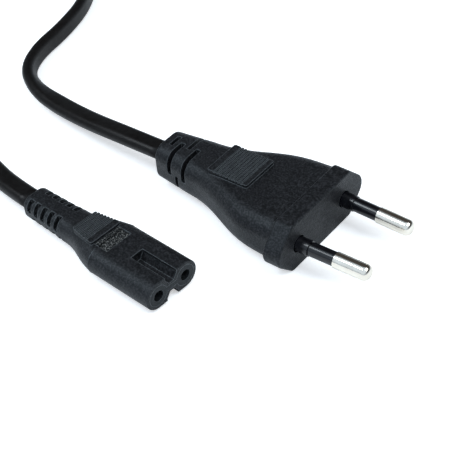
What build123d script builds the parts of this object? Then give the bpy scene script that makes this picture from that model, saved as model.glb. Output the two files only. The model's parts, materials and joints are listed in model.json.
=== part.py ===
from build123d import *
from math import atan, cos, radians, sin, tan
import os

# Two-core mains lead: flat two-pin plug, flat cord and figure-eight appliance connector.
# Millimetres, +Z up. X = 0 and Y = 0 are the middle of the plug with its pins, and its
# flange stands on Z = 0. The pins point along +X and the cord leaves along -X.
# The cord lies on the same surface and its spare length is wound into a coil.

os.makedirs("parts", exist_ok=True)

# Plug pins
PIN_SPACING = 18.6
PIN_TIP_SPACING = 17.6
PIN_DIAMETER = 4.0
PIN_LENGTH = 19.0
PIN_TIP_ROUND = 1.5
SHANK_DIAMETER = 2.8
SHOULDER_DIAMETER = 4.8
SHOULDER_THICKNESS = 1.6
SHOULDER_DEPTH = 6.6
BARREL_DIAMETER = 3.2
BARREL_DEPTH = 9.0
BARREL_LENGTH = 4.6

# Insulating sleeves on the pins
SLEEVE_LENGTH = 10.0
SLEEVE_DIAMETER = 3.5
COLLAR_LENGTH = 3.2
COLLAR_DIAMETER = 3.9
COLLAR_GROOVE = 0.4
COLLAR_RECESS = 0.25
COLLAR_RECESS_DEPTH = 0.5

# Hard carrier inside the plug that holds both pins
BRIDGE_DEPTH = 3.4
BRIDGE_THICKNESS = 6.0
BRIDGE_HEIGHT = 8.0
BRIDGE_MARGIN = 3.2

# Plug moulding: flange
FLANGE_THICKNESS = 13.7
FLANGE_REACH = 18.76
FLANGE_END_ROUND = 3.7
FLANGE_CORNER_ROUND = 1.7
FLANGE_DEPTH = 4.7
FLANGE_EDGE_ROUND = 0.5

# Plug moulding: gripping body, as (distance behind face, half width, half height, corner)
BODY_SECTIONS = [
    (4.2, 14.15, 6.15, 4.0),
    (8.0, 14.15, 6.0, 4.2),
    (12.0, 13.95, 5.85, 4.3),
    (16.0, 13.2, 5.7, 4.3),
    (20.0, 11.75, 5.6, 4.2),
    (24.0, 10.0, 5.5, 4.1),
    (28.0, 8.4, 5.4, 3.9),
    (32.0, 7.3, 5.35, 3.7),
    (36.0, 6.8, 5.3, 3.6),
]

# Plug moulding: grip pads on top and underside
PAD_FRONT = 17.4
PAD_REAR = 29.2
PAD_HALF_WIDTH = 5.55
PAD_HEIGHT = 6.55
PAD_CORNER = 0.5
PAD_ROOT = 3.5
RIDGE_PITCH = 0.9
RIDGE_GROOVE = 0.38
RIDGE_DEPTH = 0.3
PAD_FRONT_BAR = 0.7
PAD_REAR_STRIP = 1.9

# Plug moulding: strain relief tail
TAIL_REAR = 46.4
TAIL_REAR_HALF_WIDTH = 5.4
TAIL_REAR_HALF_HEIGHT = 5.15
TAIL_CORNER = 3.4
TAIL_END_ROUND = 0.6
TAIL_SLOT_RISE = 0.3
TAIL_CORE_WALL = 0.7

# Slots of the tail, as (distance behind face, width, side, first edge past the middle, reach)
TAIL_SLOTS = [
    (43.7, 1.05, 1, 1.9, 3.8),
    (41.25, 1.4, -1, 0.2, 12.0),
    (38.8, 1.1, 1, 1.0, 12.0),
    (36.35, 1.4, -1, 0.2, 12.0),
]

# Flat two-core cord
CORD_WIDTH = 5.8
CORD_THICKNESS = 3.5
CORE_PITCH = 2.5
CORE_DIAMETER = 2.3
STRAND_DIAMETER = 1.15
JACKET_END = 30.5
CORE_STRAIGHT = 2.0
CORE_BEND = 5.0
STRIP_GAP = 0.6
STRAND_SEAT = 0.6

# Connector: place on the surface and nose
CONNECTOR_X = -3.8
CONNECTOR_Y = -34.15
CONNECTOR_TURN = -4.6
HOLE_HEIGHT = 4.4
HOLE_SPACING = 8.6
HOLE_DIAMETER = 2.87
LOBE_RADIUS = 3.65
NOSE_LENGTH = 19.5
NOSE_EDGE_ROUND = 0.25
GROOVE_LENGTH = 10.8
GROOVE_HALF_MOUTH = 1.85
GROOVE_LIP = 0.8
GROOVE_HALF_FLOOR = 0.75
GROOVE_DEPTH = 2.4

# Connector: neck, as (distance behind front, half width, half height, corner)
NECK_SECTIONS = [
    (19.5, 7.9, 3.65, 3.4),
    (22.0, 7.3, 3.65, 3.4),
    (25.0, 6.3, 3.6, 3.3),
    (28.0, 5.2, 3.55, 3.2),
    (31.0, 4.65, 3.5, 3.1),
    (35.0, 4.4, 3.4, 3.0),
]
CONNECTOR_TAIL_REAR = 47.0
CONNECTOR_TAIL_HALF_WIDTH = 3.92
CONNECTOR_TAIL_HALF_HEIGHT = 3.27
CONNECTOR_TAIL_CORNER = 2.6
CONNECTOR_TAIL_ROUND = 0.6

# Connector: staggered slots of its tail, two rows to each side
CONNECTOR_SLOT_COUNT = 5
CONNECTOR_SLOT_PITCH = 2.5
CONNECTOR_SLOT_FIRST = 44.7
CONNECTOR_SLOT_WALL = 0.45
NEAR_SLOT_WIDTH = 1.25
NEAR_SLOT_EDGE = 2.5
NEAR_SLOT_DROP = -0.2
FAR_SLOT_WIDTH = 0.85
FAR_SLOT_EDGE = 1.3
FAR_SLOT_DROP = -1.7

# Connector: grip pads and stippled recess, both sides
CONNECTOR_PAD_FRONT = 20.9
CONNECTOR_PAD_REAR = 28.4
CONNECTOR_PAD_FRONT_HALF = 4.8
CONNECTOR_PAD_REAR_HALF = 3.7
CONNECTOR_PAD_CORNER = 0.5
CONNECTOR_PAD_ROOT = 2.5
CONNECTOR_RIDGE_PITCH = 0.95
CONNECTOR_RIDGE_GROOVE = 0.45
CONNECTOR_RIDGE_DEPTH = 0.35
PATCH_LENGTH = 4.3
PATCH_HALF_WIDTH = 3.9
PATCH_DEPTH = 0.3

# Connector: hard insert and its two contacts
INSERT_WALL = 0.95
INSERT_LENGTH = 14.0
INSERT_WEB = 1.2
CONTACT_DIAMETER = 3.4
CONTACT_BORE = 2.3
CONTACT_DEPTH = 4.0
CONTACT_BARREL_DIAMETER = 2.4
CONTACT_BARREL_LENGTH = 3.6
CONNECTOR_JACKET_END = 30.5

# Coil of the spare cord and its tie
COIL_X = -173.0
COIL_Y = 33.5
COIL_MEAN_RADIUS = 32.2
COIL_TURNS_ACROSS = 3
COIL_LAYERS = 2
COIL_TURN_STEP = 3.8
COIL_LAYER_STEP = 6.0
TIE_WIDTH = 9.0
TIE_THICKNESS = 0.6
TIE_ANGLE = 200.0

# Routes of the uncoiled stretches, in the part's frame
PLUG_CORD_POINTS = [
    (-47.0, 0.0, 6.5),
    (-61.0, 0.9, 5.0),
    (-74.0, 2.8, 3.7),
    (-85.5, 5.4, 3.0),
    (-94.5, 10.4, 2.9),
    (-99.0, 19.6, 2.9),
    (-100.5, 31.0, 2.9),
    (-104.5, 45.0, 2.9),
    (-112.5, 57.5, 2.9),
    (-125.0, 66.0, 2.9),
    (-140.0, 69.2, 2.9),
    (-157.0, 69.7, 2.9),
]
CONNECTOR_CORD_POINTS = [
    (-61.0, -29.2, 4.0),
    (-75.0, -25.2, 3.0),
    (-92.0, -18.0, 2.9),
    (-111.5, -10.5, 3.1),
    (-133.0, -4.6, 5.6),
    (-159.5, -2.5, 8.9),
]
SHORT_RUN_SHARE = 0.45

# Sizes that follow from those above
FACE_X = (TAIL_REAR - PIN_LENGTH) / 2
AXIS_Z = FLANGE_THICKNESS / 2
PIN_SLANT = atan((PIN_SPACING - PIN_TIP_SPACING) / 2 / PIN_LENGTH)
BARREL_END = BARREL_DEPTH + BARREL_LENGTH
STRIP_END = BARREL_END + STRIP_GAP
SIDES = {"left": 1, "right": -1}
CORD_CORES = {"left": "brown", "right": "blue"}


def across_plug(distance):
    """Plane across the plug, a distance behind its face, looking along the pins."""
    return Plane((FACE_X - distance, 0, AXIS_Z), x_dir=(0, 1, 0), z_dir=(1, 0, 0))


CONNECTOR_FRAME = Plane(
    (CONNECTOR_X, CONNECTOR_Y, HOLE_HEIGHT),
    x_dir=(cos(radians(CONNECTOR_TURN)), sin(radians(CONNECTOR_TURN)), 0),
    z_dir=(0, 0, 1),
)


def in_connector(distance, sideways=0, up=0):
    """Point in the connector: a distance behind its front, to its left, above its holes."""
    return CONNECTOR_FRAME.from_local_coords(Vector(-distance, sideways, up))


def across_connector(distance):
    """Plane across the connector, a distance behind its front, looking along the holes."""
    return Plane(in_connector(distance), x_dir=CONNECTOR_FRAME.y_dir, z_dir=CONNECTOR_FRAME.x_dir)


def flat_cord_outline():
    """Outline of the flat cord, wide face up."""
    return SlotOverall(CORD_WIDTH, CORD_THICKNESS)


def largest_bend_radii(points):
    """Radius at each corner of a route: as large as its two runs allow."""
    corners = [Vector(*point) for point in points]
    radii = []
    for before, corner, after in zip(corners, corners[1:], corners[2:]):
        run_in = corner - before
        run_out = after - corner
        half_turn = radians(run_in.get_angle(run_out)) / 2
        radii.append(SHORT_RUN_SHARE * min(run_in.length, run_out.length) / tan(half_turn))
    return radii


def ridge_starts(rear, front, pitch):
    """Distances behind the face where each groove of a grip pad starts."""
    count = int((rear - front) / pitch)
    return [rear - pitch * number for number in range(count)]


# Pins: bare rounded tip, thin shank, shoulder that the carrier holds, crimp barrel
def pin_plane(side):
    """Plane through a pin's axis, with its x along the pin and its origin on the face."""
    along = (cos(PIN_SLANT), -side * sin(PIN_SLANT), 0)
    return Plane((FACE_X, side * PIN_SPACING / 2, AXIS_Z), x_dir=along, z_dir=(0, 0, 1))


def pin_point(side, distance):
    """Point on a pin's axis, a distance behind the face."""
    return pin_plane(side).from_local_coords(Vector(-distance, 0, 0))


pins = {}
strands = {}
cores = {}
sleeves = {}
for name, side in SIDES.items():
    axis = Axis(pin_point(side, 0), pin_plane(side).x_dir)
    with BuildPart() as pin:
        with BuildSketch(pin_plane(side)):
            with BuildLine():
                Polyline(
                    (-BARREL_END, 0),
                    (-BARREL_END, BARREL_DIAMETER / 2),
                    (-BARREL_DEPTH, BARREL_DIAMETER / 2),
                    (-BARREL_DEPTH, SHANK_DIAMETER / 2),
                    (-SHOULDER_DEPTH, SHANK_DIAMETER / 2),
                    (-SHOULDER_DEPTH, SHOULDER_DIAMETER / 2),
                    (-SHOULDER_DEPTH + SHOULDER_THICKNESS, SHOULDER_DIAMETER / 2),
                    (-SHOULDER_DEPTH + SHOULDER_THICKNESS, SHANK_DIAMETER / 2),
                    (SLEEVE_LENGTH, SHANK_DIAMETER / 2),
                    (SLEEVE_LENGTH, PIN_DIAMETER / 2),
                    (PIN_LENGTH, PIN_DIAMETER / 2),
                    (PIN_LENGTH, 0),
                    close=True,
                )
            make_face()
        revolve(axis=axis)
        tip_edge = pin.edges().filter_by(GeomType.CIRCLE).sort_by(Axis.X)[-1]
        fillet(tip_edge, radius=PIN_TIP_ROUND)
    pins[name] = pin

    with BuildPart() as sleeve:
        with BuildSketch(pin_plane(side)):
            with BuildLine():
                Polyline(
                    (-BRIDGE_DEPTH, SHANK_DIAMETER / 2),
                    (-BRIDGE_DEPTH, COLLAR_DIAMETER / 2),
                    (COLLAR_LENGTH, COLLAR_DIAMETER / 2),
                    (COLLAR_LENGTH, SHANK_DIAMETER / 2 + COLLAR_GROOVE / 2),
                    (COLLAR_LENGTH + COLLAR_GROOVE, SHANK_DIAMETER / 2 + COLLAR_GROOVE / 2),
                    (COLLAR_LENGTH + COLLAR_GROOVE, SLEEVE_DIAMETER / 2),
                    (SLEEVE_LENGTH, SLEEVE_DIAMETER / 2),
                    (SLEEVE_LENGTH, SHANK_DIAMETER / 2),
                    close=True,
                )
            make_face()
        revolve(axis=axis)
    sleeves[name] = sleeve

    # Each core leaves the jacket beside the other and fans out to its pin
    core_start = Vector(FACE_X - JACKET_END, side * CORE_PITCH / 2, AXIS_Z)
    core_corner = core_start + Vector(CORE_STRAIGHT, 0, 0)
    core_turn = pin_point(side, STRIP_END + CORE_STRAIGHT)
    with BuildPart() as strand:
        with BuildLine():
            FilletPolyline(
                core_start,
                core_corner,
                core_turn,
                pin_point(side, BARREL_DEPTH + STRAND_SEAT),
                radius=CORE_BEND,
            )
        with BuildSketch(Plane(core_start, x_dir=(0, 1, 0), z_dir=(1, 0, 0))):
            Circle(STRAND_DIAMETER / 2)
        sweep()
    strands[name] = strand

    with BuildPart() as core:
        with BuildLine():
            FilletPolyline(
                core_start,
                core_corner,
                core_turn,
                pin_point(side, STRIP_END),
                radius=CORE_BEND,
            )
        with BuildSketch(Plane(core_start, x_dir=(0, 1, 0), z_dir=(1, 0, 0))):
            Circle(CORE_DIAMETER / 2)
        sweep()
        add(strand.part, mode=Mode.SUBTRACT)
    cores[name] = core

    with BuildPart() as bored_pin:
        add(pin.part)
        add(strand.part, mode=Mode.SUBTRACT)
    pins[name] = bored_pin

# Cord's end inside the plug
with BuildPart() as plug_cord_end:
    with BuildSketch(across_plug(TAIL_REAR)):
        flat_cord_outline()
    extrude(amount=TAIL_REAR - JACKET_END)
    for name in SIDES:
        add(strands[name].part, mode=Mode.SUBTRACT)

# Hard carrier: a block moulded round both pins' shoulders
with BuildPart() as plug_bridge:
    with BuildSketch(across_plug(BRIDGE_DEPTH + BRIDGE_THICKNESS)):
        SlotOverall(PIN_SPACING + SHOULDER_DIAMETER + BRIDGE_MARGIN, BRIDGE_HEIGHT)
    extrude(amount=BRIDGE_THICKNESS)
    for name in SIDES:
        add(pins[name].part, mode=Mode.SUBTRACT)
        add(sleeves[name].part, mode=Mode.SUBTRACT)

# Plug moulding
with BuildPart() as plug_body:
    half_flat = FLANGE_REACH - FLANGE_THICKNESS / 2
    with BuildSketch(across_plug(FLANGE_DEPTH)) as flange:
        with BuildLine():
            Polyline(
                (FLANGE_REACH, 0),
                (half_flat, FLANGE_THICKNESS / 2),
                (-half_flat, FLANGE_THICKNESS / 2),
                (-FLANGE_REACH, 0),
                (-half_flat, -FLANGE_THICKNESS / 2),
                (half_flat, -FLANGE_THICKNESS / 2),
                close=True,
            )
        make_face()
        points = flange.vertices().sort_by(Axis.X)
        fillet([points[0], points[-1]], radius=FLANGE_END_ROUND)
        points = flange.vertices().group_by(Axis.Y)
        fillet(points[0] + points[-1], radius=FLANGE_CORNER_ROUND)
    extrude(amount=FLANGE_DEPTH)
    flange_rims = plug_body.edges().filter_by(Axis.X, reverse=True)
    fillet(flange_rims, radius=FLANGE_EDGE_ROUND)

    for distance, half_width, half_height, corner in BODY_SECTIONS:
        with BuildSketch(across_plug(distance)):
            RectangleRounded(2 * half_width, 2 * half_height, corner)
    loft()

    tail_start, tail_half_width, tail_half_height, tail_corner = BODY_SECTIONS[-1]
    with BuildSketch(across_plug(tail_start)):
        RectangleRounded(2 * tail_half_width, 2 * tail_half_height, tail_corner)
    with BuildSketch(across_plug(TAIL_REAR)):
        RectangleRounded(2 * TAIL_REAR_HALF_WIDTH, 2 * TAIL_REAR_HALF_HEIGHT, TAIL_CORNER)
    loft()
    fillet(plug_body.faces().sort_by(Axis.X)[0].edges(), radius=TAIL_END_ROUND)

    # Grip pads with cross ridges
    for up in (1, -1):
        with BuildSketch(Plane.XY.offset(AXIS_Z + up * PAD_ROOT)):
            with Locations((FACE_X - (PAD_FRONT + PAD_REAR) / 2, 0)):
                RectangleRounded(PAD_REAR - PAD_FRONT, 2 * PAD_HALF_WIDTH, PAD_CORNER)
        extrude(amount=up * (PAD_HEIGHT - PAD_ROOT))
    for up in (1, -1):
        for start in ridge_starts(PAD_REAR - PAD_REAR_STRIP, PAD_FRONT + PAD_FRONT_BAR, RIDGE_PITCH):
            with BuildSketch(Plane.XY.offset(AXIS_Z + up * PAD_HEIGHT)):
                with Locations((FACE_X - start + RIDGE_GROOVE / 2, 0)):
                    Rectangle(RIDGE_GROOVE, 2 * PAD_HALF_WIDTH + 1)
            extrude(amount=-up * RIDGE_DEPTH, mode=Mode.SUBTRACT)

    # Staggered slots of the tail: each runs over one corner, and its twin over the opposite one
    for start, slot_width, side, past_middle, reach in TAIL_SLOTS:
        for up in (1, -1):
            with BuildSketch(across_plug(start + slot_width / 2)):
                across = side * up * (reach / 2 - past_middle)
                with Locations((across, up * (CORD_WIDTH - TAIL_SLOT_RISE))):
                    Rectangle(reach, 2 * CORD_WIDTH)
                SlotOverall(
                    CORD_WIDTH + 2 * TAIL_CORE_WALL,
                    CORD_THICKNESS + 2 * TAIL_CORE_WALL,
                    mode=Mode.SUBTRACT,
                )
            extrude(amount=slot_width, mode=Mode.SUBTRACT)

    # Recess round each collar, and room for what the moulding holds
    for name, side in SIDES.items():
        with BuildSketch(pin_plane(side)) as recess:
            with Locations((-COLLAR_RECESS_DEPTH / 2, (COLLAR_DIAMETER / 2 + COLLAR_RECESS) / 2)):
                Rectangle(COLLAR_RECESS_DEPTH * 2, COLLAR_DIAMETER / 2 + COLLAR_RECESS)
        revolve(axis=Axis(pin_point(side, 0), pin_plane(side).x_dir), mode=Mode.SUBTRACT)
        for held in (pins[name], sleeves[name], strands[name], cores[name]):
            add(held.part, mode=Mode.SUBTRACT)
    add(plug_bridge.part, mode=Mode.SUBTRACT)
    add(plug_cord_end.part, mode=Mode.SUBTRACT)

# Connector contacts, with the stripped strands in their barrels
contact_end = INSERT_LENGTH + CONTACT_BARREL_LENGTH
contacts = {}
connector_strands = {}
connector_cores = {}
for name, side in SIDES.items():
    hole_y = side * HOLE_SPACING / 2
    lead_start = in_connector(CONNECTOR_JACKET_END, side * CORE_PITCH / 2)
    lead_corner = in_connector(CONNECTOR_JACKET_END - CORE_STRAIGHT, side * CORE_PITCH / 2)
    lead_turn = in_connector(contact_end + STRIP_GAP + CORE_STRAIGHT, hole_y)
    lead_plane = Plane(lead_start, x_dir=CONNECTOR_FRAME.y_dir, z_dir=CONNECTOR_FRAME.x_dir)
    with BuildPart() as lead_strand:
        with BuildLine():
            FilletPolyline(
                lead_start,
                lead_corner,
                lead_turn,
                in_connector(INSERT_LENGTH + STRAND_SEAT, hole_y),
                radius=CORE_BEND,
            )
        with BuildSketch(lead_plane):
            Circle(STRAND_DIAMETER / 2)
        sweep()
    connector_strands[name] = lead_strand

    with BuildPart() as lead_core:
        with BuildLine():
            FilletPolyline(
                lead_start,
                lead_corner,
                lead_turn,
                in_connector(contact_end + STRIP_GAP, hole_y),
                radius=CORE_BEND,
            )
        with BuildSketch(lead_plane):
            Circle(CORE_DIAMETER / 2)
        sweep()
        add(lead_strand.part, mode=Mode.SUBTRACT)
    connector_cores[name] = lead_core

    with BuildPart() as contact:
        with BuildSketch(across_connector(INSERT_LENGTH)):
            with Locations((hole_y, 0)):
                Circle(CONTACT_DIAMETER / 2)
        extrude(amount=INSERT_LENGTH - CONTACT_DEPTH)
        with BuildSketch(across_connector(contact_end)):
            with Locations((hole_y, 0)):
                Circle(CONTACT_BARREL_DIAMETER / 2)
        extrude(amount=CONTACT_BARREL_LENGTH)
        with BuildSketch(across_connector(INSERT_LENGTH - STRAND_SEAT)):
            with Locations((hole_y, 0)):
                Circle(CONTACT_BORE / 2)
        extrude(amount=INSERT_LENGTH, mode=Mode.SUBTRACT)
        add(lead_strand.part, mode=Mode.SUBTRACT)
    contacts[name] = contact

# Hard insert of the connector, flush with its front
with BuildPart() as insert_blank:
    with BuildSketch(across_connector(INSERT_LENGTH)):
        with Locations((HOLE_SPACING / 2, 0), (-HOLE_SPACING / 2, 0)):
            Circle(LOBE_RADIUS - INSERT_WALL)
        Rectangle(HOLE_SPACING, INSERT_WEB)
    extrude(amount=INSERT_LENGTH)

with BuildPart() as connector_insert:
    add(insert_blank.part)
    with BuildSketch(across_connector(CONTACT_DEPTH)):
        with Locations((HOLE_SPACING / 2, 0), (-HOLE_SPACING / 2, 0)):
            Circle(HOLE_DIAMETER / 2)
    extrude(amount=CONTACT_DEPTH, mode=Mode.SUBTRACT)
    with BuildSketch(across_connector(INSERT_LENGTH)):
        with Locations((HOLE_SPACING / 2, 0), (-HOLE_SPACING / 2, 0)):
            Circle(CONTACT_DIAMETER / 2)
    extrude(amount=INSERT_LENGTH - CONTACT_DEPTH, mode=Mode.SUBTRACT)

# Cord's end inside the connector
with BuildPart() as connector_cord_end:
    with BuildSketch(across_connector(CONNECTOR_TAIL_REAR)):
        flat_cord_outline()
    extrude(amount=CONNECTOR_TAIL_REAR - CONNECTOR_JACKET_END)
    for name in SIDES:
        add(connector_strands[name].part, mode=Mode.SUBTRACT)

# Connector moulding
with BuildPart() as connector_body:
    with BuildSketch(across_connector(NOSE_LENGTH)):
        SlotOverall(HOLE_SPACING + 2 * LOBE_RADIUS, 2 * LOBE_RADIUS)
    extrude(amount=NOSE_LENGTH)
    fillet(connector_body.faces().sort_by(Axis.X)[-1].edges(), radius=NOSE_EDGE_ROUND)
    for distance, half_width, half_height, corner in NECK_SECTIONS:
        with BuildSketch(across_connector(distance)):
            RectangleRounded(2 * half_width, 2 * half_height, corner)
    loft()
    neck_end, neck_half_width, neck_half_height, neck_corner = NECK_SECTIONS[-1]
    with BuildSketch(across_connector(neck_end)):
        RectangleRounded(2 * neck_half_width, 2 * neck_half_height, neck_corner)
    with BuildSketch(across_connector(CONNECTOR_TAIL_REAR)):
        RectangleRounded(
            2 * CONNECTOR_TAIL_HALF_WIDTH,
            2 * CONNECTOR_TAIL_HALF_HEIGHT,
            CONNECTOR_TAIL_CORNER,
        )
    loft()
    fillet(connector_body.faces().sort_by(Axis.X)[0].edges(), radius=CONNECTOR_TAIL_ROUND)

    for up in (1, -1):
        level = Plane(
            in_connector(0, 0, up * CONNECTOR_PAD_ROOT),
            x_dir=CONNECTOR_FRAME.x_dir,
            z_dir=(0, 0, 1),
        )
        with BuildSketch(level) as pad:
            with BuildLine():
                Polyline(
                    (-CONNECTOR_PAD_FRONT, CONNECTOR_PAD_FRONT_HALF),
                    (-CONNECTOR_PAD_REAR, CONNECTOR_PAD_REAR_HALF),
                    (-CONNECTOR_PAD_REAR, -CONNECTOR_PAD_REAR_HALF),
                    (-CONNECTOR_PAD_FRONT, -CONNECTOR_PAD_FRONT_HALF),
                    close=True,
                )
            make_face()
            fillet(pad.vertices(), radius=CONNECTOR_PAD_CORNER)
        extrude(amount=up * (HOLE_HEIGHT - CONNECTOR_PAD_ROOT))
        pad_level = level.offset(up * (HOLE_HEIGHT - CONNECTOR_PAD_ROOT))
        for start in ridge_starts(
            CONNECTOR_PAD_REAR - CONNECTOR_RIDGE_GROOVE,
            CONNECTOR_PAD_FRONT + CONNECTOR_RIDGE_GROOVE,
            CONNECTOR_RIDGE_PITCH,
        ):
            with BuildSketch(pad_level):
                with Locations((-start + CONNECTOR_RIDGE_GROOVE / 2, 0)):
                    Rectangle(CONNECTOR_RIDGE_GROOVE, 4 * CONNECTOR_PAD_FRONT_HALF)
            extrude(amount=-up * CONNECTOR_RIDGE_DEPTH, mode=Mode.SUBTRACT)
        patch_level = level.offset(up * (LOBE_RADIUS - CONNECTOR_PAD_ROOT))
        with BuildSketch(patch_level):
            with Locations((-CONNECTOR_PAD_FRONT + PATCH_LENGTH / 2, 0)):
                Rectangle(PATCH_LENGTH, 2 * PATCH_HALF_WIDTH)
        extrude(amount=-up * PATCH_DEPTH, mode=Mode.SUBTRACT)
        with BuildSketch(across_connector(GROOVE_LENGTH)):
            with BuildLine():
                Polyline(
                    (GROOVE_HALF_MOUTH, up * (LOBE_RADIUS + 1)),
                    (GROOVE_HALF_MOUTH, up * (LOBE_RADIUS - GROOVE_LIP)),
                    (GROOVE_HALF_FLOOR, up * (LOBE_RADIUS - GROOVE_DEPTH)),
                    (-GROOVE_HALF_FLOOR, up * (LOBE_RADIUS - GROOVE_DEPTH)),
                    (-GROOVE_HALF_MOUTH, up * (LOBE_RADIUS - GROOVE_LIP)),
                    (-GROOVE_HALF_MOUTH, up * (LOBE_RADIUS + 1)),
                    close=True,
                )
            make_face()
        extrude(amount=GROOVE_LENGTH, mode=Mode.SUBTRACT)

    # Staggered slots in the tail, over its corners
    for number in range(CONNECTOR_SLOT_COUNT):
        start = CONNECTOR_SLOT_FIRST - CONNECTOR_SLOT_PITCH * number
        between = start - CONNECTOR_SLOT_PITCH / 2
        for side, place, slot_width, edge, drop in (
            (-1, start, NEAR_SLOT_WIDTH, NEAR_SLOT_EDGE, NEAR_SLOT_DROP),
            (1, between, FAR_SLOT_WIDTH, FAR_SLOT_EDGE, FAR_SLOT_DROP),
        ):
            for up in (1, -1):
                with BuildSketch(across_connector(place + slot_width / 2)):
                    with Locations((side * up * (edge + CORD_WIDTH / 2), up * (CORD_THICKNESS - drop))):
                        Rectangle(CORD_WIDTH, 2 * CORD_THICKNESS)
                    SlotOverall(
                        CORD_WIDTH + 2 * CONNECTOR_SLOT_WALL,
                        CORD_THICKNESS + 2 * CONNECTOR_SLOT_WALL,
                        mode=Mode.SUBTRACT,
                    )
                extrude(amount=slot_width, mode=Mode.SUBTRACT)

    add(insert_blank.part, mode=Mode.SUBTRACT)
    add(connector_cord_end.part, mode=Mode.SUBTRACT)
    for name in SIDES:
        for held in (contacts[name], connector_strands[name], connector_cores[name]):
            add(held.part, mode=Mode.SUBTRACT)

# Coil of the spare cord: a ring as wide and high as its turns, pinched by the tie
coil_width = COIL_TURN_STEP * COIL_TURNS_ACROSS
coil_height = COIL_LAYER_STEP * COIL_LAYERS
coil_middle = Vector(COIL_X, COIL_Y, coil_height / 2)
tie_out = (cos(radians(TIE_ANGLE)), sin(radians(TIE_ANGLE)), 0)
tie_round = (-sin(radians(TIE_ANGLE)), cos(radians(TIE_ANGLE)), 0)
tie_plane = Plane(
    coil_middle + Vector(*tie_out) * COIL_MEAN_RADIUS,
    x_dir=tie_out,
    z_dir=tie_round,
)
with BuildPart() as coil_tie:
    with BuildSketch(tie_plane.offset(-TIE_WIDTH / 2)):
        Rectangle(coil_width + 2 * TIE_THICKNESS, coil_height)
        Rectangle(coil_width, coil_height - 2 * TIE_THICKNESS, mode=Mode.SUBTRACT)
    extrude(amount=TIE_WIDTH)

with BuildPart() as cord_coil:
    with BuildSketch(Plane.XZ.offset(-COIL_Y)):
        with Locations((COIL_X + COIL_MEAN_RADIUS, coil_height / 2)):
            Rectangle(coil_width, coil_height)
    revolve(axis=Axis((COIL_X, COIL_Y, 0), (0, 0, 1)))
    add(coil_tie.part, mode=Mode.SUBTRACT)


def cord_tube(start, points):
    """Free stretch of the cord, from the moulding it leaves to the side of the coil."""
    route = [start] + points
    radii = largest_bend_radii(route)
    first_run = Vector(*route[1]) - Vector(*route[0])
    with BuildPart() as tube:
        with BuildLine():
            FilletPolyline(*route, radius=radii)
        with BuildSketch(Plane(route[0], z_dir=first_run)):
            Circle(CORD_WIDTH / 2)
        sweep()
    return tube.part


plug_exit = (FACE_X - TAIL_REAR, 0.0, AXIS_Z)
connector_exit = tuple(in_connector(CONNECTOR_TAIL_REAR))
plug_tube = cord_tube(plug_exit, PLUG_CORD_POINTS)
connector_tube = cord_tube(connector_exit, CONNECTOR_CORD_POINTS)

with BuildPart() as plug_cord:
    add(plug_tube)
    for neighbour in (plug_body, plug_cord_end, cord_coil):
        add(neighbour.part, mode=Mode.SUBTRACT)

with BuildPart() as connector_cord:
    add(connector_tube)
    for neighbour in (connector_body, connector_cord_end, cord_coil):
        add(neighbour.part, mode=Mode.SUBTRACT)

NODES = {
    "plug_body": plug_body.part,
    "plug_bridge": plug_bridge.part,
    "plug_cord_end": plug_cord_end.part,
    "connector_body": connector_body.part,
    "connector_insert": connector_insert.part,
    "connector_cord_end": connector_cord_end.part,
    "plug_cord": plug_cord.part,
    "connector_cord": connector_cord.part,
    "cord_coil": cord_coil.part,
    "coil_tie": coil_tie.part,
}
for name in SIDES:
    colour = CORD_CORES[name]
    NODES[name + "_pin"] = pins[name].part
    NODES[name + "_pin_sleeve"] = sleeves[name].part
    NODES["plug_" + colour + "_core"] = cores[name].part
    NODES["plug_" + colour + "_strands"] = strands[name].part
    NODES[name + "_contact"] = contacts[name].part
    NODES["connector_" + colour + "_core"] = connector_cores[name].part
    NODES["connector_" + colour + "_strands"] = connector_strands[name].part

for node, solid in NODES.items():
    solid.label = node
    export_step(solid, "parts/" + node + ".step")
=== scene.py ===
import json
import math
import bmesh
import bpy
from mathutils import Matrix, Vector


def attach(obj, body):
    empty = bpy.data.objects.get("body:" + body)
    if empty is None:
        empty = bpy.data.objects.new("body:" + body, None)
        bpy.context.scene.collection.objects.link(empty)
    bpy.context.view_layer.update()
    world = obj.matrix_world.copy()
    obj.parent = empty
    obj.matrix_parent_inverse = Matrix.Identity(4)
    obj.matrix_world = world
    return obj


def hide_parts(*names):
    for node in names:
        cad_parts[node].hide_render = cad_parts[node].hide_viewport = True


# Two-core mains lead: looks, connector's moulding, cord, tie, floor, lamps and camera, all in
# the CAD frame. Places and sizes are in millimetres and become metres by MM. Looks, floor and
# lamps are in metres.
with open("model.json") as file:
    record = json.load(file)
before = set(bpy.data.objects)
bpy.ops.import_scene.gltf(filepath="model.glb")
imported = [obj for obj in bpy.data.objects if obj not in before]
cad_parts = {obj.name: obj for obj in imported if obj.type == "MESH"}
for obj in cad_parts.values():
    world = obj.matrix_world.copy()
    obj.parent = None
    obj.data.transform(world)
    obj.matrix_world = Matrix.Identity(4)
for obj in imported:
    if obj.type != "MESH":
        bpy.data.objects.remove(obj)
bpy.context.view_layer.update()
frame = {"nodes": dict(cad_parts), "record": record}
nodes = frame["nodes"]
MM = 0.001
WHITE = (1, 1, 1, 1)

# Connector's own frame: the middle of its front, the way to its rear and to its far side
CONNECTOR_FRONT = Vector((-3.8, -34.15, 4.4))
CONNECTOR_TURN = math.radians(-4.6)
REARWARD = Vector((-math.cos(CONNECTOR_TURN), -math.sin(CONNECTOR_TURN), 0))
FAR_SIDE = Vector((-math.sin(CONNECTOR_TURN), math.cos(CONNECTOR_TURN), 0))


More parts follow.
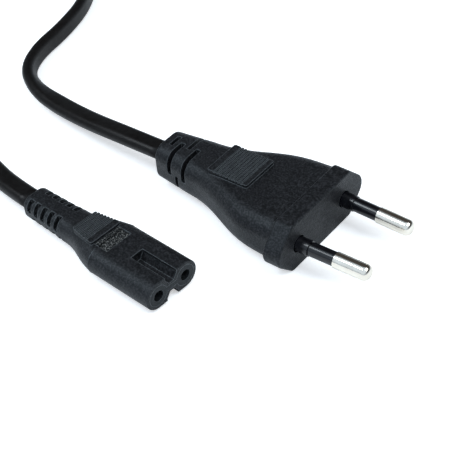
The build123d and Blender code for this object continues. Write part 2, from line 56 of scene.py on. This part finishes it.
# Shader helpers: each adds its node to a tree and returns the node's output
def new_material(name):
    """Material with an empty tree, its principled shader and its output."""
    material = bpy.data.materials.new(name)
    material.use_nodes = True
    tree = material.node_tree
    tree.nodes.clear()
    shader = tree.nodes.new("ShaderNodeBsdfPrincipled")
    output = tree.nodes.new("ShaderNodeOutputMaterial")
    tree.links.new(shader.outputs["BSDF"], output.inputs["Surface"])
    return material, tree, shader


def noise(tree, scale, detail, rough, stretch=(1, 1, 1)):
    """Noise in the object's own metres, with scale in features per metre."""
    where = tree.nodes.new("ShaderNodeTexCoord")
    mapping = tree.nodes.new("ShaderNodeMapping")
    mapping.inputs["Scale"].default_value = stretch
    texture = tree.nodes.new("ShaderNodeTexNoise")
    texture.inputs["Scale"].default_value = scale
    texture.inputs["Detail"].default_value = detail
    texture.inputs["Roughness"].default_value = rough
    tree.links.new(where.outputs["Object"], mapping.inputs["Vector"])
    tree.links.new(mapping.outputs["Vector"], texture.inputs["Vector"])
    return texture.outputs["Fac"]


def ramp(tree, value, low, high, first, last):
    """Colour that goes from one to another as a value rises."""
    node = tree.nodes.new("ShaderNodeValToRGB")
    start, end = node.color_ramp.elements
    start.position = low
    start.color = (*first, 1)
    end.position = high
    end.color = (*last, 1)
    tree.links.new(value, node.inputs["Fac"])
    return node.outputs["Color"]


def span(tree, value, low, high, first, last):
    """A value moved from one range to another, and held at its ends."""
    node = tree.nodes.new("ShaderNodeMapRange")
    limits = {"From Min": low, "From Max": high, "To Min": first, "To Max": last}
    for name, number in limits.items():
        node.inputs[name].default_value = number
    tree.links.new(value, node.inputs["Value"])
    return node.outputs["Result"]


def combined(tree, operation, first, last):
    """Two values put together by an operation; either may be a plain number."""
    node = tree.nodes.new("ShaderNodeMath")
    node.operation = operation
    for socket, value in zip(node.inputs, (first, last)):
        if isinstance(value, float):
            socket.default_value = value
        else:
            tree.links.new(value, socket)
    return node.outputs["Value"]


def between(tree, value, low, high, soft):
    """1 where a value lies between two limits, with soft borders."""
    rise = span(tree, value, low - soft, low + soft, 0.0, 1.0)
    fall = span(tree, value, high - soft, high + soft, 1.0, 0.0)
    return combined(tree, "MULTIPLY", rise, fall)


def blended(tree, blend, share, under, over):
    """Colour laid over another one by a share; the upper one may be a plain colour."""
    node = tree.nodes.new("ShaderNodeMix")
    node.data_type = "RGBA"
    node.blend_type = blend
    tree.links.new(share, node.inputs["Factor"])
    tree.links.new(under, node.inputs["A"])
    if isinstance(over, tuple):
        node.inputs["B"].default_value = over
    else:
        tree.links.new(over, node.inputs["B"])
    return node.outputs["Result"]


def bump(tree, height, distance, strength=1.0, under=None):
    """Normal moved by a height, on top of another normal where that is given."""
    node = tree.nodes.new("ShaderNodeBump")
    node.inputs["Distance"].default_value = distance
    node.inputs["Strength"].default_value = strength
    tree.links.new(height, node.inputs["Height"])
    if under is not None:
        tree.links.new(under, node.inputs["Normal"])
    return node.outputs["Normal"]


def along(tree, direction, origin):
    """Distance along a direction from a point, in the object's own metres."""
    where = tree.nodes.new("ShaderNodeTexCoord")
    move = tree.nodes.new("ShaderNodeVectorMath")
    move.operation = "SUBTRACT"
    move.inputs[1].default_value = origin
    dot = tree.nodes.new("ShaderNodeVectorMath")
    dot.operation = "DOT_PRODUCT"
    dot.inputs[1].default_value = direction
    tree.links.new(where.outputs["Object"], move.inputs[0])
    tree.links.new(move.outputs["Vector"], dot.inputs[0])
    return dot.outputs["Value"]


# Where most of a noise's values lie
NOISE_SPREAD = (0.3, 0.7)


def vary_roughness(tree, shader, value, roughness, below, above):
    """Roughness that wanders with a noise, below and above its own value."""
    rough = span(tree, value, *NOISE_SPREAD, roughness - below, roughness + above)
    tree.links.new(rough, shader.inputs["Roughness"])


# Painted edge highlight: how well the rounded normal fits the flat one on a face and on a full edge, and
# the light tone painted on edges
FACE_FIT = 0.995
EDGE_FIT = 0.85
EDGE_SAMPLES = 6
PAINTED_EDGE_HIGHLIGHT = (0.1032, 0.1152, 0.12, 1)


def edge_highlight_and_rounding(tree, radius):
    """Mask for the painted edge highlight, 0 on faces and 1 on edges, and the normal with its edges
    rounded.
    """
    rounded = tree.nodes.new("ShaderNodeBevel")
    rounded.samples = EDGE_SAMPLES
    rounded.inputs["Radius"].default_value = radius
    flat = tree.nodes.new("ShaderNodeNewGeometry")
    fit = tree.nodes.new("ShaderNodeVectorMath")
    fit.operation = "DOT_PRODUCT"
    tree.links.new(rounded.outputs["Normal"], fit.inputs[0])
    tree.links.new(flat.outputs["Normal"], fit.inputs[1])
    mask = span(tree, fit.outputs["Value"], FACE_FIT, EDGE_FIT, 0.0, 1.0)
    return mask, rounded.outputs["Normal"]


# Stippled patches ahead of the connector's grip pads: a real bumped stipple, its grains lightened by
# painted glints
PATCH_START = 0.0167
PATCH_END = 0.0208
PATCH_HALF_WIDTH = 0.0038
PATCH_BORDER = 0.0001
STIPPLE_SCALE = 3000.0
STIPPLE_DEPTH = 0.0004
STIPPLE_SPREAD = (0.50, 0.66)
STIPPLE_DARK = (0.003, 0.003, 0.003)
STIPPLE_PAINTED_GLINT = (0.20, 0.20, 0.19)


def stippled(tree, colour, normal):
    """A colour and a normal with the stippled patches laid over them; the patches' light grains are
    painted glints.
    """
    front = CONNECTOR_FRONT * MM
    depth = along(tree, REARWARD, front)
    aside = along(tree, FAR_SIDE, front)
    lengthwise = between(tree, depth, PATCH_START, PATCH_END, PATCH_BORDER)
    sideways = between(tree, aside, -PATCH_HALF_WIDTH, PATCH_HALF_WIDTH, PATCH_BORDER)
    mask = combined(tree, "MULTIPLY", lengthwise, sideways)
    grains = noise(tree, STIPPLE_SCALE, detail=2.0, rough=0.5)
    # Stipple tone from the dark plastic to painted glints on the grains
    tone = ramp(tree, grains, *STIPPLE_SPREAD, STIPPLE_DARK, STIPPLE_PAINTED_GLINT)
    height = combined(tree, "MULTIPLY", grains, mask)
    return blended(tree, "MIX", mask, colour, tone), bump(tree, height, STIPPLE_DEPTH, under=normal)


# Moulded plastic
EDGE_RADIUS = 0.00026
FLOW_SCALE = 140.0
GRAIN_SPREAD = (0.44, 0.64)
MOULDED_SHINE = 0.24
MOULDED_SHINE_TINT = (0.84, 0.94, 1.0, 1)


def moulded(name, dark, light, roughness, grain, grain_depth, edge_radius=EDGE_RADIUS, patch=False):
    """Moulded plastic: spark-eroded grain, faint flow marks, rounded edges lightened by a painted
    highlight.
    """
    material, tree, shader = new_material(name)
    edges, rounded = edge_highlight_and_rounding(tree, edge_radius)
    fine = noise(tree, grain, detail=4.0, rough=0.62)
    flow = noise(tree, FLOW_SCALE, detail=2.0, rough=0.5)
    colour = ramp(tree, fine, *GRAIN_SPREAD, dark, light)
    # Edges lightened by a painted highlight
    colour = blended(tree, "ADD", edges, colour, PAINTED_EDGE_HIGHLIGHT)
    normal = bump(tree, fine, grain_depth, under=rounded)
    if patch:
        colour, normal = stippled(tree, colour, normal)
    tree.links.new(colour, shader.inputs["Base Color"])
    tree.links.new(normal, shader.inputs["Normal"])
    vary_roughness(tree, shader, flow, roughness, below=0.05, above=0.06)
    shader.inputs["Specular IOR Level"].default_value = MOULDED_SHINE
    shader.inputs["Specular Tint"].default_value = MOULDED_SHINE_TINT
    return material


# Extruded plastic
JACKET_GRAIN_SCALE = 900.0
JACKET_WAVE_SCALE = 110.0
JACKET_GRAIN_SPREAD = (0.35, 0.7)


def extruded(name, dark, light, roughness, grain_depth, shine=0.5):
    """Extruded jacket or insulation: soft sheen and shallow drawn unevenness."""
    material, tree, shader = new_material(name)
    fine = noise(tree, JACKET_GRAIN_SCALE, detail=3.0, rough=0.5)
    waves = noise(tree, JACKET_WAVE_SCALE, detail=2.0, rough=0.5)
    colour = ramp(tree, fine, *JACKET_GRAIN_SPREAD, dark, light)
    tree.links.new(colour, shader.inputs["Base Color"])
    tree.links.new(bump(tree, fine, grain_depth), shader.inputs["Normal"])
    vary_roughness(tree, shader, waves, roughness, below=0.05, above=0.07)
    shader.inputs["Specular IOR Level"].default_value = shine
    return material


# Metal
LINE_SCALE = 2600.0
LINE_DEPTH = 0.000012
LINE_STRENGTH = 0.5
CLOUD_SCALE = 260.0


def drawn_metal(name, dark, light, roughness, stretch):
    """Plated or bare metal with fine lines from drawing or turning."""
    material, tree, shader = new_material(name)
    shader.inputs["Metallic"].default_value = 1.0
    lines = noise(tree, LINE_SCALE, detail=3.0, rough=0.6, stretch=stretch)
    cloud = noise(tree, CLOUD_SCALE, detail=2.0, rough=0.5)
    tree.links.new(ramp(tree, cloud, *NOISE_SPREAD, dark, light), shader.inputs["Base Color"])
    tree.links.new(bump(tree, lines, LINE_DEPTH, LINE_STRENGTH), shader.inputs["Normal"])
    vary_roughness(tree, shader, lines, roughness, below=0.04, above=0.08)
    return material


# Each slot's finish: dark and light colour, roughness, and what else its function asks for
BLACK_PVC = ((0.0030, 0.0030, 0.0034), (0.026, 0.026, 0.0285), 0.43, 2300.0, 0.00011)
LOOKS = {
    "black_pvc": (moulded, *BLACK_PVC),
    "cord_pvc": (extruded, (0.0030, 0.0025, 0.0024), (0.007, 0.0062, 0.006), 0.40, 0.000012, 0.20),
    "sleeve_plastic": (extruded, (0.002, 0.002, 0.003), (0.006, 0.006, 0.008), 0.17, 0.000006),
    "insert_plastic": (
        moulded, (0.005, 0.0055, 0.006), (0.018, 0.020, 0.022), 0.42, 3000.0, 0.00003, 0.00012
    ),
    "carrier_plastic": (
        moulded, (0.035, 0.035, 0.037), (0.085, 0.085, 0.09), 0.5, 2600.0, 0.00004
    ),
    "nickel": (drawn_metal, (0.80, 0.74, 0.64), (0.94, 0.89, 0.79), 0.11, (0.12, 1.6, 1.6)),
    "brown_insulation": (extruded, (0.11, 0.045, 0.02), (0.19, 0.08, 0.035), 0.3, 0.00001),
    "blue_insulation": (extruded, (0.02, 0.09, 0.32), (0.045, 0.15, 0.45), 0.3, 0.00001),
    "copper": (drawn_metal, (0.55, 0.25, 0.13), (0.78, 0.40, 0.24), 0.25, (1, 6, 6)),
    "contact_brass": (drawn_metal, (0.62, 0.46, 0.20), (0.80, 0.64, 0.33), 0.25, (0.2, 1, 1)),
    "tie_band": (extruded, (0.006, 0.006, 0.006), (0.016, 0.016, 0.017), 0.55, 0.00003),
}
MATERIALS = {name: finish(name, *values) for name, (finish, *values) in LOOKS.items()}
CONNECTOR_PVC = moulded("connector_pvc", *BLACK_PVC, patch=True)

# Each CAD node takes the finish of its slot in the record
SLOT_OF = {part["node"]: part["material_slot"] for part in frame["record"]["subparts"]}
for name, node in nodes.items():
    node.data.materials.clear()
    node.data.materials.append(MATERIALS[SLOT_OF[name]])


def new_piece(name, points, faces):
    """Object with a mesh made from points in metres and faces, put in the scene."""
    mesh = bpy.data.meshes.new(name)
    mesh.from_pydata([tuple(point) for point in points], [], faces)
    piece = bpy.data.objects.new(name, mesh)
    bpy.context.collection.objects.link(piece)
    return piece


# Connector's moulding, with the slots of its tail cut wider and deeper than in the solid
TAIL_SLOTS = 5
TAIL_SLOT_PITCH = 2.5
TAIL_SLOT_FIRST = 44.7
NEAR_OPENING = 1.5
NEAR_EDGE = 2.05
NEAR_DROP = 0.14
FAR_OPENING = 1.4
FAR_EDGE = 1.36
FAR_DROP = 0.75
CUT_BEYOND = 6.0
WALL_MIDDLE = 1.15
WALL_RADIUS = 1.86
WALL_STEPS = 8
WELD = 0.001
SHARP_ANGLE = math.radians(32)


def slot_section(edge, drop):
    """Corners (sideways, up) of a slot over the tail's corner, outside the wall round the cord."""
    first = math.acos((edge - WALL_MIDDLE) / WALL_RADIUS)
    last = math.asin(drop / WALL_RADIUS)
    corners = [(edge, CUT_BEYOND)]
    for step in range(WALL_STEPS + 1):
        turn = first + (last - first) * step / WALL_STEPS
        corners.append((WALL_MIDDLE + WALL_RADIUS * math.cos(turn), WALL_RADIUS * math.sin(turn)))
    return corners + [(CUT_BEYOND, drop), (CUT_BEYOND, CUT_BEYOND)]


def add_prism(points, faces, corners, middle, width):
    """Adds a slot's prism across the connector, at a distance behind its front."""
    first = len(points)
    size = len(corners)
    for behind in (middle - width / 2, middle + width / 2):
        for sideways, height in corners:
            place = CONNECTOR_FRONT + REARWARD * behind + FAR_SIDE * sideways
            points.append((place + Vector((0, 0, height))) * MM)
    faces.append(tuple(range(first, first + size)))
    faces.append(tuple(range(first + 2 * size - 1, first + size - 1, -1)))
    for corner in range(size):
        here = first + corner
        after = first + (corner + 1) % size
        faces.append((after, here, here + size, after + size))


def slot_cutters():
    """One piece of prisms: staggered rows over the near and far corners, above and below."""
    points = []
    faces = []
    near = slot_section(NEAR_EDGE, NEAR_DROP)
    far = slot_section(FAR_EDGE, FAR_DROP)
    for number in range(TAIL_SLOTS):
        place = TAIL_SLOT_FIRST - TAIL_SLOT_PITCH * number
        for side, middle, width, section in (
            (-1, place, NEAR_OPENING, near),
            (1, place - TAIL_SLOT_PITCH / 2, FAR_OPENING, far),
        ):
            for twin in (1, -1):
                corners = [(side * twin * sideways, twin * height) for sideways, height in section]
                add_prism(points, faces, corners, middle, width)
    piece = new_piece("slot_cutters", points, faces)
    work = bmesh.new()
    work.from_mesh(piece.data)
    bmesh.ops.recalc_face_normals(work, faces=work.faces)
    work.to_mesh(piece.data)
    work.free()
    return piece


def opened_moulding(node):
    """Copy of the solid's mesh with the wider slots cut out of it."""
    points = [node.matrix_world @ vertex.co for vertex in node.data.vertices]
    piece = new_piece("connector_moulding", points, [tuple(face.vertices) for face in node.data.polygons])
    work = bmesh.new()
    work.from_mesh(piece.data)
    bmesh.ops.remove_doubles(work, verts=work.verts, dist=WELD * MM)
    work.to_mesh(piece.data)
    work.free()
    cutters = slot_cutters()
    cut = piece.modifiers.new("slots", "BOOLEAN")
    cut.operation = "DIFFERENCE"
    cut.solver = "EXACT"
    cut.object = cutters
    seen = piece.evaluated_get(bpy.context.evaluated_depsgraph_get())
    shape = bpy.data.meshes.new_from_object(seen)
    piece.modifiers.clear()
    piece.data = shape
    bpy.data.objects.remove(cutters)
    shape.shade_smooth()
    shape.set_sharp_from_angle(angle=SHARP_ANGLE)
    shape.materials.clear()
    shape.materials.append(CONNECTOR_PVC)
    return piece


moulding = opened_moulding(nodes["connector_body"])
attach(moulding, "root")
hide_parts("connector_body")

# Cord: the route's points, with the coil's turns among them
PLUG_EXIT = (-32.7, 0.0, 6.85)
PLUG_CORD_POINTS = [
    (-47.0, 0.0, 6.5),
    (-61.0, 0.9, 5.0),
    (-74.0, 2.8, 3.7),
    (-85.5, 5.4, 3.0),
    (-94.5, 10.4, 2.9),
    (-99.0, 19.6, 2.9),
    (-100.5, 31.0, 2.9),
    (-104.5, 45.0, 2.9),
    (-112.5, 57.5, 2.9),
    (-125.0, 66.0, 2.9),
    (-140.0, 69.2, 2.9),
    (-157.0, 69.7, 2.9),
]
CONNECTOR_CORD_POINTS = [
    (-61.0, -29.2, 4.0),
    (-75.0, -25.2, 3.0),
    (-92.0, -18.0, 2.9),
    (-111.5, -10.5, 3.1),
    (-133.0, -4.6, 5.6),
    (-159.5, -2.5, 8.9),
]
CONNECTOR_EXIT = (-50.649, -30.381, 4.4)
CORD_WIDTH = 5.8
CORD_THICKNESS = 3.5
CORD_SIDES = 28
LINE_STEPS = 6

# Coil: two layers of turns, lifted a little where the tie passes under them
COIL_MIDDLE = (-173.0, 33.5)
COIL_OUTER = 36.5
COIL_INNER = 24.9
COIL_START_ANGLE = 90.0
TURNS_A_LAYER = 3.25
POINTS_A_TURN = 20
CLIMB_POINTS = 3
LAYER_HEIGHTS = (3.0, 9.05)
TIE_ANGLE = 200.0
TIE_LIFT = 0.65
TIE_LIFT_REACH = 60.0

# Cord's turn about itself: how far it stays flat beyond each moulding, and how far it turns over
PLUG_FLAT, PLUG_TURNING = 40.0, 30.0
CONNECTOR_FLAT, CONNECTOR_TURNING = 14.0, 22.0


def coil_points():
    """Turns of the coil: inwards along the bottom layer, up, and outwards along the top one."""
    steps = round(TURNS_A_LAYER * POINTS_A_TURN)
    bottom, top = LAYER_HEIGHTS
    points = []
    for step in range(1, 2 * steps):
        angle = COIL_START_ANGLE + 360.0 * step / POINTS_A_TURN
        inward = 1 - abs(step / steps - 1)
        radius = COIL_OUTER - (COIL_OUTER - COIL_INNER) * inward
        climb = min(max((step - steps) / CLIMB_POINTS + 0.5, 0.0), 1.0)
        off_tie = (angle - TIE_ANGLE + 180.0) % 360.0 - 180.0
        lift = TIE_LIFT * max(0.0, 1 - (off_tie / TIE_LIFT_REACH) ** 2)
        turn = math.radians(angle)
        points.append((
            COIL_MIDDLE[0] + radius * math.cos(turn),
            COIL_MIDDLE[1] + radius * math.sin(turn),
            bottom + (top - bottom) * climb + lift,
        ))
    return points


def smooth_line(name, points):
    """NURBS curve through the route, and the points along it in metres."""
    data = bpy.data.curves.new(name, "CURVE")
    data.dimensions = "3D"
    data.resolution_u = LINE_STEPS
    spline = data.splines.new("NURBS")
    spline.points.add(len(points) - 1)
    for point, place in zip(spline.points, points):
        point.co = (*(part * MM for part in place), 1)
    spline.order_u = 3
    spline.use_endpoint_u = True
    curve = bpy.data.objects.new(name, data)
    line = bpy.data.meshes.new_from_object(curve)
    path = [vertex.co.copy() for vertex in line.vertices]
    bpy.data.objects.remove(curve)
    return path


def ease(value):
    """Smooth step from 0 to 1."""
    value = min(max(value, 0.0), 1.0)
    return value * value * (3 - 2 * value)


def twist_at(run, total):
    """Turn of the flat cord about itself: flat at both mouldings, on edge in between."""
    from_plug = ease((run / MM - PLUG_FLAT) / PLUG_TURNING)
    from_connector = ease(((total - run) / MM - CONNECTOR_FLAT) / CONNECTOR_TURNING)
    return math.pi / 2 * min(from_plug, from_connector)


def flat_outline():
    """Flat cord's section in metres: two flat faces and two round edges."""
    reach = (CORD_WIDTH - CORD_THICKNESS) / 2
    radius = CORD_THICKNESS / 2
    outline = []
    for number in range(CORD_SIDES):
        turn = 2 * math.pi * (number + 0.5) / CORD_SIDES
        outline.append((
            (math.copysign(reach, math.cos(turn)) + radius * math.cos(turn)) * MM,
            radius * math.sin(turn) * MM,
        ))
    return outline


def flat_cord(path):
    """Flat cord along a path: its section at every point, joined by quads and closed at both ends."""
    runs = [0.0]
    for before, after in zip(path, path[1:]):
        runs.append(runs[-1] + (after - before).length)
    outline = flat_outline()
    count = len(outline)
    points = []
    faces = []
    for index, place in enumerate(path):
        ahead = path[min(index + 1, len(path) - 1)] - path[max(index - 1, 0)]
        ahead.normalize()
        aside = Vector((0, 0, 1)).cross(ahead).normalized()
        upward = ahead.cross(aside)
        twist = twist_at(runs[index], runs[-1])
        wide = aside * math.cos(twist) + upward * math.sin(twist)
        thick = upward * math.cos(twist) - aside * math.sin(twist)
        points += [place + wide * across + thick * up for across, up in outline]
        if index:
            last = (index - 1) * count
            here = index * count
            for number in range(count):
                after = (number + 1) % count
                faces.append((last + number, last + after, here + after, here + number))
    faces.append(tuple(reversed(range(count))))
    faces.append(tuple(range(len(points) - count, len(points))))
    piece = new_piece("cord", points, faces)
    piece.data.shade_smooth()
    piece.data.materials.append(MATERIALS["cord_pvc"])
    return piece


route = [PLUG_EXIT] + PLUG_CORD_POINTS + coil_points()
route += CONNECTOR_CORD_POINTS[::-1] + [CONNECTOR_EXIT]
path = smooth_line("cord_line", route)
cord = flat_cord(path)

# Tie: a ribbed band round all the turns, with its gaps to them
TIE_WIDTH = 9.0
TIE_CORNER = 1.6
TIE_CORNER_STEPS = 6
TIE_RIBS = 19
TIE_EDGE_THICKNESS = 0.42
TIE_VALLEY_THICKNESS = 0.50
TIE_RIB_THICKNESS = 0.58
TIE_EDGE_ROUND = 0.18
TIE_INNER_GAP = 0.5
TIE_OUTER_GAP = 0.3
TIE_TOP_GAP = 0.1
TIE_FLOOR_GAP = 0.6


def tie_profile():
    """Band's section along the cord (sideways, thickness), with ribs on its outside."""
    half = TIE_WIDTH / 2
    profile = [(-half, 0.0), (-half, TIE_EDGE_THICKNESS), (-half + TIE_EDGE_ROUND, TIE_RIB_THICKNESS)]
    for rib in range(1, TIE_RIBS):
        thickness = TIE_RIB_THICKNESS if rib % 2 else TIE_VALLEY_THICKNESS
        profile.append((-half + TIE_WIDTH * rib / TIE_RIBS, thickness))
    profile += [(half - TIE_EDGE_ROUND, TIE_RIB_THICKNESS), (half, TIE_EDGE_THICKNESS), (half, 0.0)]
    return profile


def tie_loop():
    """Band's way round the turns: each point's corner, out from the coil's axis and up, and angle."""
    inner = COIL_INNER - CORD_THICKNESS / 2 - TIE_INNER_GAP + TIE_CORNER
    outer = COIL_OUTER + CORD_THICKNESS / 2 + TIE_OUTER_GAP - TIE_CORNER
    low = TIE_FLOOR_GAP + TIE_CORNER
    high = LAYER_HEIGHTS[1] + TIE_LIFT + CORD_WIDTH / 2 + TIE_TOP_GAP - TIE_CORNER
    loop = []
    for quarter, (across, up) in enumerate(((outer, high), (inner, high), (inner, low), (outer, low))):
        for step in range(TIE_CORNER_STEPS + 1):
            loop.append((across, up, math.pi / 2 * (quarter + step / TIE_CORNER_STEPS)))
    return loop


def tie_band():
    """Rounded band across the coil at its angle, just outside the turns."""
    turn = math.radians(TIE_ANGLE)
    outward = Vector((math.cos(turn), math.sin(turn), 0))
    beside = Vector((-outward.y, outward.x, 0))
    middle = Vector((*COIL_MIDDLE, 0))
    profile = tie_profile()
    loop = tie_loop()
    size = len(profile)
    points = []
    for across, up, angle in loop:
        for sideways, thickness in profile:
            reach = TIE_CORNER + thickness
            place = middle + outward * (across + reach * math.cos(angle)) + beside * sideways
            points.append((place + Vector((0, 0, up + reach * math.sin(angle)))) * MM)
    faces = []
    for ring in range(len(loop)):
        here = ring * size
        there = (ring + 1) % len(loop) * size
        for number in range(size):
            after = (number + 1) % size
            faces.append((here + number, here + after, there + after, there + number))
    piece = new_piece("tie", points, faces)
    piece.data.shade_smooth()
    piece.data.materials.append(MATERIALS["tie_band"])
    return piece


tie = tie_band()

for piece, slot_name in ((cord, "cord_pvc"), (tie, "tie_band")):
    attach(piece, "root")
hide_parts("plug_cord", "connector_cord", "cord_coil")
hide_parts("coil_tie")
far_pieces = [
    node for name, node in nodes.items()
    if name.startswith("connector_") and name not in ("connector_cord", "connector_body")
]
far_pieces += [moulding, nodes["left_contact"], nodes["right_contact"], tie]

# Floor, in metres: matt, with a glow of its own for the camera and a weaker one for reflections
FLOOR_REACH = 4
FLOOR_TONE = (0.92, 0.92, 0.92, 1)
FLOOR_ROUGHNESS = 0.9
FLOOR_SHINE = 0.1
SEEN_GLOW = 0.48
MIRRORED_GLOW = 0.08


def white_floor():
    """Large square floor at the height of the surface that the lead lies on."""
    far = FLOOR_REACH
    corners = [(-far, -far, 0), (far, -far, 0), (far, far, 0), (-far, far, 0)]
    piece = new_piece("floor", corners, [(0, 1, 2, 3)])
    material, tree, shader = new_material("floor")
    shader.inputs["Base Color"].default_value = FLOOR_TONE
    shader.inputs["Roughness"].default_value = FLOOR_ROUGHNESS
    shader.inputs["Specular IOR Level"].default_value = FLOOR_SHINE
    rays = tree.nodes.new("ShaderNodeLightPath")
    seen = combined(tree, "MULTIPLY", rays.outputs["Is Camera Ray"], SEEN_GLOW)
    mirrored = combined(tree, "MULTIPLY", rays.outputs["Is Glossy Ray"], MIRRORED_GLOW)
    shader.inputs["Emission Color"].default_value = WHITE
    tree.links.new(combined(tree, "MAXIMUM", seen, mirrored), shader.inputs["Emission Strength"])
    piece.data.materials.append(material)
    return piece


floor = white_floor()

# World: white where it is seen; where it lights, a wide soft light on the near side overhead
# and a pale band above the horizon. Each has the range over which it comes in or fades.
SOFT_LIGHT_WAY = (0.10, -0.62, 0.78)
SOFT_LIGHT_BORDER = (0.52, 0.74)
HORIZON_BORDER = (0.05, 0.30)
HORIZON_SHARE = 0.8
SKY_DARK = (0.055, 0.052, 0.05)
SKY_LIGHT = (0.74, 0.86, 1.0)


def studio_world():
    """World that the camera sees as white and that lights the lead softly from one side."""
    world = bpy.data.worlds.new("studio")
    world.use_nodes = True
    tree = world.node_tree
    tree.nodes.clear()
    where = tree.nodes.new("ShaderNodeTexCoord")
    towards = tree.nodes.new("ShaderNodeVectorMath")
    towards.operation = "DOT_PRODUCT"
    towards.inputs[1].default_value = SOFT_LIGHT_WAY
    tree.links.new(where.outputs["Generated"], towards.inputs[0])
    parts = tree.nodes.new("ShaderNodeSeparateXYZ")
    tree.links.new(where.outputs["Generated"], parts.inputs["Vector"])
    soft_light = span(tree, towards.outputs["Value"], *SOFT_LIGHT_BORDER, 0.0, 1.0)
    horizon = span(tree, parts.outputs["Z"], *HORIZON_BORDER, HORIZON_SHARE, 0.0)
    brightest = combined(tree, "MAXIMUM", soft_light, horizon)
    lit = tree.nodes.new("ShaderNodeBackground")
    tree.links.new(ramp(tree, brightest, 0.0, 1.0, SKY_DARK, SKY_LIGHT), lit.inputs["Color"])
    seen = tree.nodes.new("ShaderNodeBackground")
    seen.inputs["Color"].default_value = WHITE
    rays = tree.nodes.new("ShaderNodeLightPath")
    either = tree.nodes.new("ShaderNodeMixShader")
    output = tree.nodes.new("ShaderNodeOutputWorld")
    tree.links.new(rays.outputs["Is Camera Ray"], either.inputs["Fac"])
    tree.links.new(lit.outputs["Background"], either.inputs[1])
    tree.links.new(seen.outputs["Background"], either.inputs[2])
    tree.links.new(either.outputs["Shader"], output.inputs["Surface"])
    return world


bpy.context.scene.world = studio_world()

# Lamps, in metres and watts: a key high beyond the pins and a sheen high on the cord's near side
LAMP_COLOUR = (0.88, 0.95, 1.0)
LAMP_TARGET = Vector((-0.03, -0.01, 0.0))


def area_lamp(name, place, size, power):
    """Square soft lamp aimed at the lead, a little bluer than white."""
    data = bpy.data.lights.new(name, "AREA")
    data.shape = "SQUARE"
    data.size = size
    data.energy = power
    data.color = LAMP_COLOUR
    lamp = bpy.data.objects.new(name, data)
    lamp.location = place
    lamp.rotation_euler = (LAMP_TARGET - Vector(place)).to_track_quat("-Z", "Y").to_euler()
    bpy.context.collection.objects.link(lamp)


area_lamp("key", (0.40, 0.06, 0.68), size=0.45, power=3.4)
area_lamp("sheen", (-0.42, -0.26, 0.62), size=0.32, power=2.4)

# Camera, fitted to the photograph on the pins, the flange and both outlines
AZIMUTH = math.radians(41.341)
ELEVATION = math.radians(41.771)
ROLL = math.radians(-5.402)
DISTANCE = 279.922
TARGET = Vector((-4.616, -13.486, 6.85))
FOCAL_PIXELS = 1197.952
PICTURE_PIXELS = 449
SENSOR_WIDTH = 36
CLIP_START = 10.0


def fitted_camera():
    """Camera that looks at the target from the fitted place, rolled about its own axis."""
    back = Vector((
        math.sin(AZIMUTH) * math.cos(ELEVATION),
        -math.cos(AZIMUTH) * math.cos(ELEVATION),
        math.sin(ELEVATION),
    ))
    right = Vector((math.cos(AZIMUTH), math.sin(AZIMUTH), 0))
    up = back.cross(right)
    right_rolled = right * math.cos(ROLL) + up * math.sin(ROLL)
    up_rolled = up * math.cos(ROLL) - right * math.sin(ROLL)
    data = bpy.data.cameras.new("camera")
    data.sensor_width = SENSOR_WIDTH
    data.lens = FOCAL_PIXELS * SENSOR_WIDTH / PICTURE_PIXELS
    data.clip_start = CLIP_START * MM
    piece = bpy.data.objects.new("camera", data)
    turned = Matrix((right_rolled, up_rolled, back)).transposed()
    piece.matrix_world = Matrix.Translation((TARGET + back * DISTANCE) * MM) @ turned.to_4x4()
    bpy.context.collection.objects.link(piece)
    return piece


camera = fitted_camera()
bpy.context.scene.camera = camera
bpy.context.scene.view_settings.view_transform = "Standard"
